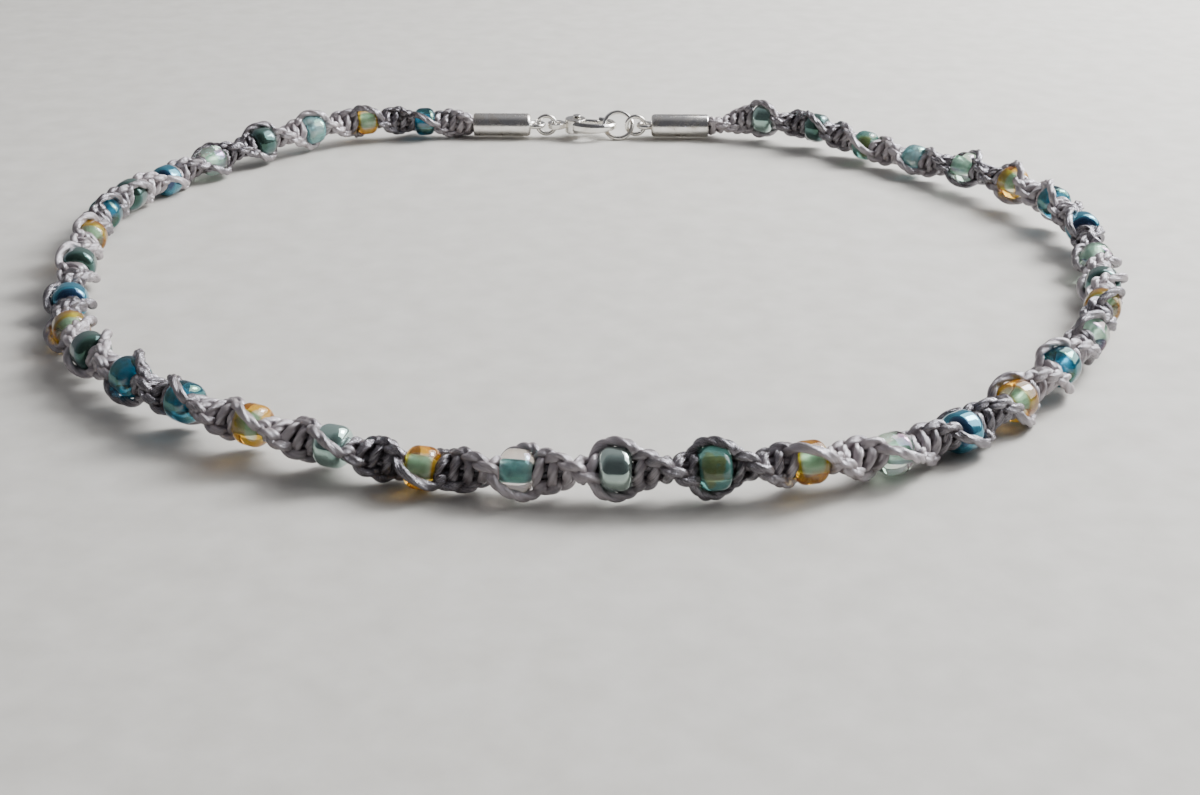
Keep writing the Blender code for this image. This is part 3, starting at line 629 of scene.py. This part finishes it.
def wire_ring(name, radius, wire, matrix, finish, opening=0.0):
    """Ring of round wire about Z, closed, or cut open by an angle in degrees."""
    bm = bmesh.new()
    upright = Matrix.Translation((radius, 0, 0)) @ Matrix.Rotation(math.pi / 2, 4, "X")
    bmesh.ops.create_circle(bm, segments=WIRE_SIDES, radius=wire, matrix=upright)
    bmesh.ops.spin(bm, geom=list(bm.verts) + list(bm.edges), cent=(0, 0, 0), axis=(0, 0, 1),
                   angle=math.radians(360.0 - opening), steps=RING_STEPS,
                   use_merge=opening == 0.0)
    if opening:
        ends = [edge for edge in bm.edges if edge.is_boundary]
        bmesh.ops.holes_fill(bm, edges=ends, sides=0)
    bmesh.ops.transform(bm, verts=bm.verts, matrix=matrix)
    return mesh_object(name, bm, finish)


def cast(name, finish):
    """Cast piece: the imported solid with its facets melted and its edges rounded."""
    bm = bmesh.new()
    bm.from_mesh(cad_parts[name].data)
    bmesh.ops.remove_doubles(bm, verts=bm.verts, dist=WELD)
    item = mesh_object(name + "_cast", bm, finish)
    melt = item.modifiers.new("melt", "REMESH")
    melt.mode = "VOXEL"
    melt.voxel_size = CAST_VOXEL
    melt.use_smooth_shade = True
    soften = item.modifiers.new("soften", "SMOOTH")
    soften.factor = 0.5
    soften.iterations = CAST_ROUNDS
    return item


# Cords

def working_cord(route, side):
    """Path of one working cord, and the numbers of its points that lie under the other cord."""
    edge = BEAD_LENGTH / 2 - KNOT_OVERLAP
    path = [route.beside(s, -side * TAIL_OFFSET, 0.0) for s in (-TAIL_FAR, -TAIL_NEAR)]
    hidden = []
    start = TUBE_GAP
    for number in range(BEAD_COUNT + 1):
        is_last = number == BEAD_COUNT
        end = CORD_LENGTH - TUBE_GAP if is_last else bead_place(number) - edge
        count = max(KNOTS, round((end - start) / KNOT_PITCH))
        pitch = (end - start) / count
        for knot in range(count):
            middle = start + pitch * (knot + 0.5)
            for i, (across, through, along) in enumerate(HALF_KNOT):
                if (knot, i) in ((0, 0), (count - 1, len(HALF_KNOT) - 1)):
                    continue  # beside a bead these lie behind the points of BEAD_PASS
                if i == HIDDEN_POINT:
                    hidden.append(len(path))
                path.append(route.beside(middle + along * pitch, side * across * MM,
                                         side * through * MM))
            side = -side
        if not is_last:
            for along, out in BEAD_PASS:
                path.append(route.beside(bead_place(number) + along * MM, -side * out * MM, 0.0))
            start = bead_place(number) + edge
    path += [route.beside(CORD_LENGTH + s, -side * TAIL_OFFSET, 0.0)
             for s in (TAIL_NEAR, TAIL_FAR)]
    return path, hidden


def filler_places():
    """Places of the filler cords' points, and the share of their size at each."""
    edge = BEAD_LENGTH / 2
    places = [(-tail, 1.0) for tail in reversed(FILLER_TAIL)] + [(0.0, 1.0)]
    start = 0.0
    for number in range(BEAD_COUNT + 1):
        is_last = number == BEAD_COUNT
        end = CORD_LENGTH if is_last else bead_place(number) - edge - SQUEEZE_RUN
        places += [(start + (end - start) * step / FILLER_STEPS, 1.0)
                   for step in range(1, FILLER_STEPS + 1)]
        if not is_last:
            middle = bead_place(number)
            places += [(middle + share * edge, FILLER_SQUEEZE) for share in BEAD_SHARES]
            start = middle + edge + SQUEEZE_RUN
            places.append((start, 1.0))
    return places + [(CORD_LENGTH + tail, 1.0) for tail in FILLER_TAIL]


def make_cords(route, shift):
    # The dark colour is the cord's dark tone and also the painted shade in the grooves between its
    # plies.
    satin = cord_finish("cord_satin", (0.035, 0.024, 0.022), (0.37, 0.325, 0.325))
    section = ply_section()
    for name, side in (("first", 1), ("second", -1)):
        path, hidden = working_cord(route, side)
        path = [place + shift for place in path]
        for place in path:  # where the cord would sink into the surface, it lies on it
            place.z = max(place.z, PLY_OFFSET + PLY_RADIUS)
        cuts = [min(hidden, key=lambda i: abs(i - len(path) * share / STRETCHES))
                for share in range(1, STRETCHES)]
        starts = [0] + [cut - 1 for cut in cuts]
        ends = [cut + 2 for cut in cuts] + [len(path)]
        stretches = [path[start:end] for start, end in zip(starts, ends)]
        half = STRETCHES // 2
        for end, paths in (("left", stretches[:half]), ("right", stretches[half:])):
            piece = swept_cord(f"working_cord_{name}_{end}", paths, satin, section)
            dress(piece, "necklace", "cord_satin", "knotted_cord")
    bpy.data.objects.remove(section)
    places = filler_places()
    widths = [width for _, width in places]
    fillers = [[route.beside(s, side * FILLER_OFFSET * width, 0.0) + shift
                for s, width in places] for side in (1, -1)]
    piece = swept_cord("filler_cords", fillers, satin, radius=FILLER_RADIUS, widths=widths, steps=2)
    dress(piece, "necklace", "cord_satin", "knotted_cord")


# Beads

def bead_name(number):
    index = bead_index(number)
    if index == 0:
        return "bead_centre"
    side = "left" if index < 0 else "right"
    return f"bead_{side}_{abs(index):02d}"


def axis_matrix(point, along, out, up):
    """Placing matrix whose X runs along the cord."""
    turn = Matrix((along, out, -up)).transposed().to_4x4()
    return Matrix.Translation(point) @ turn


def make_beads(route, shift):
    half = BEAD_LENGTH / 2
    shoulder = BEAD_RADIUS - BEAD_SWELL
    outline = (
        (-half, BEAD_BORE, BORE_ROUND), (-half, shoulder, BEAD_ROUND),
        (0.0, BEAD_RADIUS, BELLY_ROUND),
        (half, shoulder, BEAD_ROUND), (half, BEAD_BORE, BORE_ROUND),
    )
    glasses = {name: glass_finish(name) for name in GLASS_LOOKS}
    linings = {name: lining_finish(name) for name in GLASS_LOOKS}
    for number, glass in enumerate(GLASS_ORDER):
        matrix = Matrix.Translation(shift) @ axis_matrix(*route.frame(bead_place(number)))
        name = bead_name(number)
        bead = turned(name + "_glass", outline, matrix, glasses[glass], linings[glass])
        inverse = matrix.inverted()
        for face in bead.data.polygons:
            place = inverse @ face.center
            if math.hypot(place.y, place.z) < BORE_REACH:
                face.material_index = 1
        dress(bead, "necklace", "glass_" + glass, name)


# Clasp and ends

def make_findings(route, shift):
    silver = silver_finish()
    mouth = route.point(0.0) + shift
    bore = TUBE_RADIUS - TUBE_WALL
    outline = (
        (0.0, bore, MOUTH_ROUND), (0.0, TUBE_RADIUS, RIM_ROUND),
        (TUBE_LENGTH, TUBE_RADIUS, HEAD_ROUND), (TUBE_LENGTH, 0.0, 0.0),
        (TUBE_BORE_DEPTH, 0.0, 0.0), (TUBE_BORE_DEPTH, bore, MOUTH_ROUND),
    )
    eye_place = Matrix.Translation((TUBE_LENGTH + EYE_RADIUS - EYE_SINK, 0.0, 0.0))
    upright = Matrix.Rotation(math.pi / 2, 4, "X")
    for side, x, turn in (("left", 0.0, 0.0), ("right", CLOSURE_LENGTH, math.pi)):
        place = Matrix.Translation(mouth + Vector((x, 0.0, 0.0)))
        matrix = place @ Matrix.Rotation(turn, 4, "Z")
        tube = turned(f"end_tube_{side}_barrel", outline, matrix, silver)
        dress(tube, "necklace", "silver", f"end_tube_{side}")
        eye = wire_ring(f"end_tube_{side}_eye", EYE_RADIUS, EYE_WIRE, matrix @ eye_place, silver)
        dress(eye, "necklace", "silver", f"end_tube_{side}")
    for side in ("left", "right"):
        matrix = Matrix.Translation(box_centre(f"jump_ring_{side}")) @ upright
        ring = wire_ring(f"jump_ring_{side}_wire", JUMP_RADIUS, JUMP_WIRE, matrix, silver,
                         JUMP_OPENING)
        dress(ring, "necklace", "silver", f"jump_ring_{side}")
    # The catch ring leans until its edge rests on the surface
    rise = min(1.0, (CLOSURE_HEIGHT - CATCH_WIRE - LIFT_OFF) / CATCH_RADIUS)
    lean = Matrix.Rotation(math.asin(rise), 4, "X")
    matrix = Matrix.Translation(box_centre("catch_ring")) @ lean
    ring = wire_ring("catch_ring_wire", CATCH_RADIUS, CATCH_WIRE, matrix, silver)
    dress(ring, "necklace", "silver", "catch_ring")
    for node, body in (("clasp_claw", "necklace"), ("clasp_lever", "lever"),
                       ("clasp_rivet", "necklace")):
        dress(cast(node, silver), body, "silver", node)


# Stage

def make_floor():
    bm = bmesh.new()
    bmesh.ops.create_grid(bm, x_segments=1, y_segments=1, size=FLOOR_HALF)
    floor = mesh_object("floor", bm, floor_finish())


def make_light():
    for name, (place, size, power) in LIGHTS.items():
        light = bpy.data.lights.new(name, "AREA")
        light.shape = "RECTANGLE"
        light.size, light.size_y = size
        light.energy = power
        light.color = LIGHT_COLOUR
        lamp = bpy.data.objects.new(name, light)
        lamp.location = place
        lamp.rotation_euler = (-Vector(place)).to_track_quat("-Z", "Y").to_euler()
        bpy.context.scene.collection.objects.link(lamp)
    world = bpy.data.worlds.new("studio")
    world.use_nodes = True
    direction = add_node(world, "ShaderNodeTexCoord").outputs["Generated"]
    away = add_node(world, "ShaderNodeSeparateXYZ", {"Vector": direction}).outputs["Y"]
    share = add_node(world, "ShaderNodeMapRange", {"Value": away, "From Min": -1.0}).outputs[0]
    background = world.node_tree.nodes["Background"]
    colour = ramp(world, share, ((0.25, ROOM_BEHIND), (0.60, ROOM_AHEAD)))
    world.node_tree.links.new(colour, background.inputs["Color"])
    bpy.context.scene.world = world


def make_camera(shift):
    pitch, yaw, roll = (math.radians(angle) for angle in (CAMERA_PITCH, CAMERA_YAW, CAMERA_ROLL))
    ahead = Vector((math.sin(yaw) * math.cos(pitch), math.cos(yaw) * math.cos(pitch),
                    -math.sin(pitch)))
    right = Vector((math.cos(yaw), -math.sin(yaw), 0.0))
    up = right.cross(ahead)
    rolled_right = right * math.cos(roll) + up * math.sin(roll)
    rolled_up = up * math.cos(roll) - right * math.sin(roll)
    turn = Matrix((rolled_right, rolled_up, -ahead)).transposed().to_4x4()
    lens = bpy.data.cameras.new("camera")
    lens.lens = LENS
    lens.sensor_width = SENSOR
    lens.clip_start = 1.0 * MM
    lens.clip_end = 10.0
    camera = bpy.data.objects.new("camera", lens)
    camera.matrix_world = Matrix.Translation(Vector(CAMERA_PLACE) + shift) @ turn
    bpy.context.scene.collection.objects.link(camera)
    bpy.context.scene.camera = camera


route = Route()
shift = source_shift(route)
make_camera(shift)
make_cords(route, shift)
make_beads(route, shift)
make_findings(route, shift)
make_floor()
make_light()
